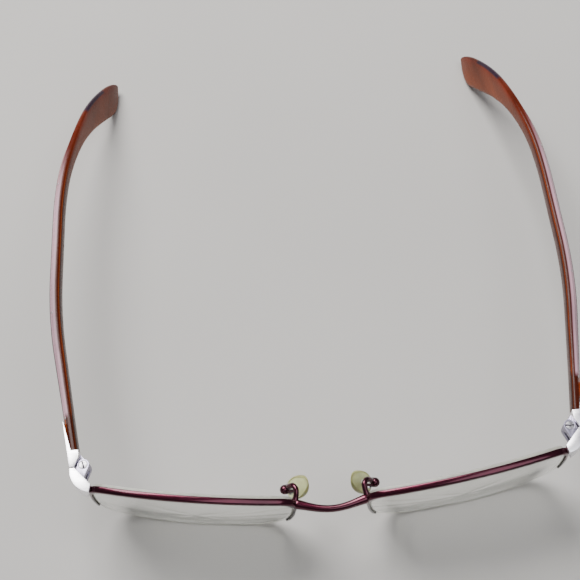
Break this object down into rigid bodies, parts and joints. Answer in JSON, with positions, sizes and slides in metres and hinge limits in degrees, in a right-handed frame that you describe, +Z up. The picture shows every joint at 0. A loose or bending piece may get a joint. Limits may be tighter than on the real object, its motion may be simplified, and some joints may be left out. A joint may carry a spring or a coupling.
{
  "type": "eyeglasses",
  "caption": "Half-rim eyeglasses with metal upper rims over grooved lenses held by thread, folding temples with moulded sleeves, and rocking silicone nose pads.",
  "frame": {"origin": "centre of the footprint, on the flat surface that the open glasses stand on", "axes": "+X across the front towards the wearer's left temple, which is named right here because the front is seen from ahead; +Y from the lenses back to the temple tips; +Z up"},
  "size_m": [0.1408, 0.1553, 0.0306],
  "materials": {
    "plum_metal": "gloss",
    "silver": "polished",
    "screw_steel": "satin",
    "core_steel": "satin",
    "lens": "clear, gloss",
    "nylon": "satin",
    "silicone": "satin",
    "amber_resin": "gloss"
  },
  "bodies": {
    "front": {"bridge": "plum_metal", "rim_left": "plum_metal", "rim_right": "plum_metal", "rim_liner_left": "nylon", "rim_liner_right": "nylon", "lens_left": "lens", "lens_right": "lens", "lens_cord_left": "nylon", "lens_cord_right": "nylon", "end_piece_left": "silver", "end_piece_right": "silver", "front_hinge_left": "silver", "front_hinge_right": "silver", "hinge_screw_left": "screw_steel", "hinge_screw_right": "screw_steel", "pad_arm_left": "plum_metal", "pad_arm_right": "plum_metal", "pad_box_left": "plum_metal", "pad_box_right": "plum_metal", "pad_screw_left": "screw_steel", "pad_screw_right": "screw_steel"},
    "temple_left": {"temple_hinge_left": "silver", "temple_fitting_left": "silver", "temple_core_left": "core_steel", "temple_sleeve_left": "amber_resin", "temple_pins_left": "screw_steel"},
    "temple_right": {"temple_hinge_right": "silver", "temple_fitting_right": "silver", "temple_core_right": "core_steel", "temple_sleeve_right": "amber_resin", "temple_pins_right": "screw_steel"},
    "pad_left": {"nose_pad_left": "silicone", "pad_insert_left": "nylon"},
    "pad_right": {"nose_pad_right": "silicone", "pad_insert_right": "nylon"}
  },
  "joints": [
    {"name": "temple_left_fold", "type": "hinge", "parent": "front", "child": "temple_left", "pos_m": [-0.05972, -0.06235, 0.02595], "axis": [0, 0, -1], "range_deg": [0, 91]},
    {"name": "temple_right_fold", "type": "hinge", "parent": "front", "child": "temple_right", "pos_m": [0.05972, -0.06235, 0.02595], "axis": [0, 0, 1], "range_deg": [0, 82]},
    {"name": "pad_left_rock", "type": "hinge", "parent": "front", "child": "pad_left", "pos_m": [-0.00992, -0.07, 0.02029], "axis": [-0.2094, 0.9604, 0.1836], "range_deg": [-8, 8]},
    {"name": "pad_right_rock", "type": "hinge", "parent": "front", "child": "pad_right", "pos_m": [0.00992, -0.07, 0.02029], "axis": [0.2094, 0.9604, 0.1836], "range_deg": [-8, 8]}
  ]
}
